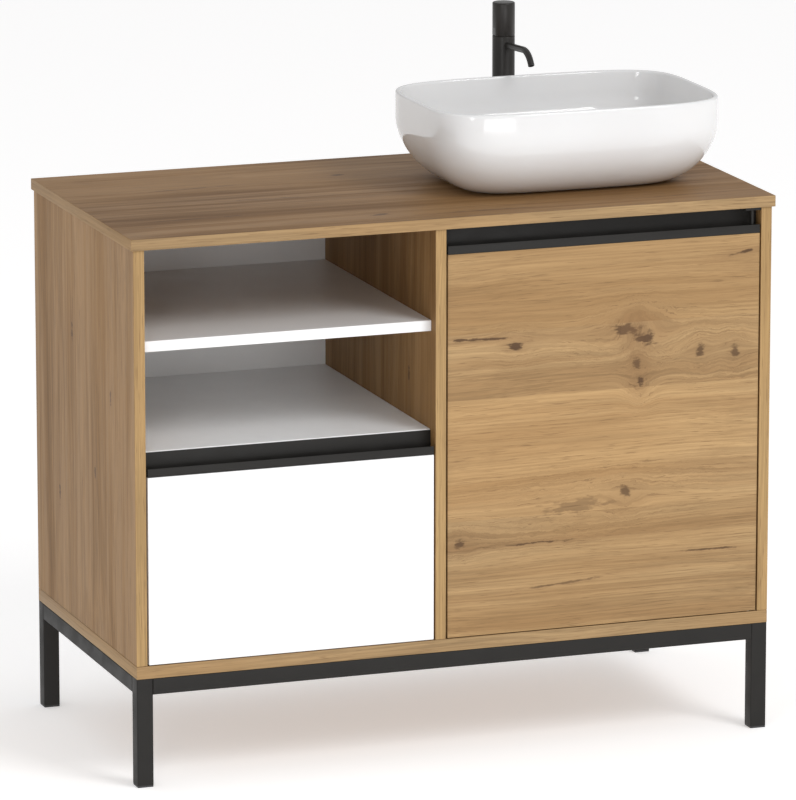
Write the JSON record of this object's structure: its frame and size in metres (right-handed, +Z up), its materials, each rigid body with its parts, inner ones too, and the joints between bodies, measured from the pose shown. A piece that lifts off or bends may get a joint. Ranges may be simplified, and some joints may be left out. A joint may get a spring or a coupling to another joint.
{
  "type": "bathroom vanity with vessel basin",
  "caption": "Freestanding oak-pattern bathroom vanity on a black square-tube frame, with open niche, drawer, door, vessel basin and tall column tap.",
  "frame": {"origin": "middle of the footprint on the floor, under the middle of the bounding box", "axes": "+X to the user's right along the worktop, -Y towards the user, +Z up"},
  "size_m": [1, 0.5, 1.05],
  "materials": {
    "oak_laminate": "oak-pattern laminate, matt",
    "white_laminate": "white laminate board, matt",
    "black_coated_steel": "fine-texture anthracite powder coat",
    "black_tap_finish": "satin black coating on brass",
    "glazed_ceramic": "white gloss glaze",
    "chrome_waste": "polished chrome",
    "zinc_steel": "zinc-plated steel",
    "black_rubber": "moulded rubber",
    "black_plastic": "matt moulded plastic"
  },
  "bodies": {
    "root": {"worktop": "oak_laminate", "side_panel_left": "oak_laminate", "side_panel_right": "oak_laminate", "divider_panel": "oak_laminate", "bottom_panel": "oak_laminate", "niche_shelf": "white_laminate", "drawer_cover_shelf": "white_laminate", "back_panel_left": "white_laminate", "back_panel_right": "white_laminate", "front_stretcher": "white_laminate", "rear_stretcher": "white_laminate", "drawer_grip_profile": "black_coated_steel", "door_grip_profile": "black_coated_steel", "leg_front_left": "black_coated_steel", "leg_front_right": "black_coated_steel", "leg_back_left": "black_coated_steel", "leg_back_right": "black_coated_steel", "frame_rail_front": "black_coated_steel", "frame_rail_back": "black_coated_steel", "frame_rail_left": "black_coated_steel", "frame_rail_right": "black_coated_steel", "leg_glide_front_left": "black_plastic", "leg_glide_front_right": "black_plastic", "leg_glide_back_left": "black_plastic", "leg_glide_back_right": "black_plastic", "runner_fixed_left": "zinc_steel", "runner_fixed_right": "zinc_steel", "door_socket_top": "black_coated_steel", "door_socket_bottom": "black_plastic", "door_catch": "black_plastic", "basin": "glazed_ceramic", "waste_body": "chrome_waste", "waste_washer": "black_rubber", "waste_nut": "chrome_waste", "waste_tailpipe": "chrome_waste", "trap_body": "chrome_waste", "trap_cup": "chrome_waste", "trap_outlet": "chrome_waste", "tap_body": "black_tap_finish", "tap_spout": "black_tap_finish", "tap_aerator": "black_tap_finish", "tap_cartridge": "zinc_steel", "tap_shank": "zinc_steel", "tap_washer": "black_rubber", "tap_nut": "zinc_steel"},
    "drawer": {"drawer_front": "white_laminate", "drawer_grip_lip": "black_coated_steel", "drawer_side_left": "white_laminate", "drawer_side_right": "white_laminate", "drawer_back": "white_laminate", "drawer_bottom": "white_laminate", "runner_moving_left": "zinc_steel", "runner_moving_right": "zinc_steel"},
    "door": {"door_panel": "oak_laminate", "door_grip_lip": "black_coated_steel", "door_pin_top": "black_coated_steel", "door_pin_bottom": "zinc_steel", "door_strike": "zinc_steel"},
    "tap_cap": {"tap_handle": "black_tap_finish"},
    "plug": {"waste_plug": "chrome_waste"}
  },
  "joints": [
    {"name": "drawer_slide", "type": "slide", "parent": "root", "child": "drawer", "axis": [0, -1, 0], "range_m": [0, 0.3]},
    {"name": "door_hinge", "type": "hinge", "parent": "root", "child": "door", "pos_m": [0.4666, -0.2404, 0.47], "axis": [0, 0, 1], "range_deg": [0, 100]},
    {"name": "tap_cap_turn", "type": "hinge", "parent": "root", "child": "tap_cap", "pos_m": [0.24, 0.206, 1.02], "axis": [0, 0, 1], "range_deg": [0, 100]},
    {"name": "plug_travel", "type": "slide", "parent": "root", "child": "plug", "axis": [0, 0, -1], "range_m": [0, 0.008]}
  ]
}
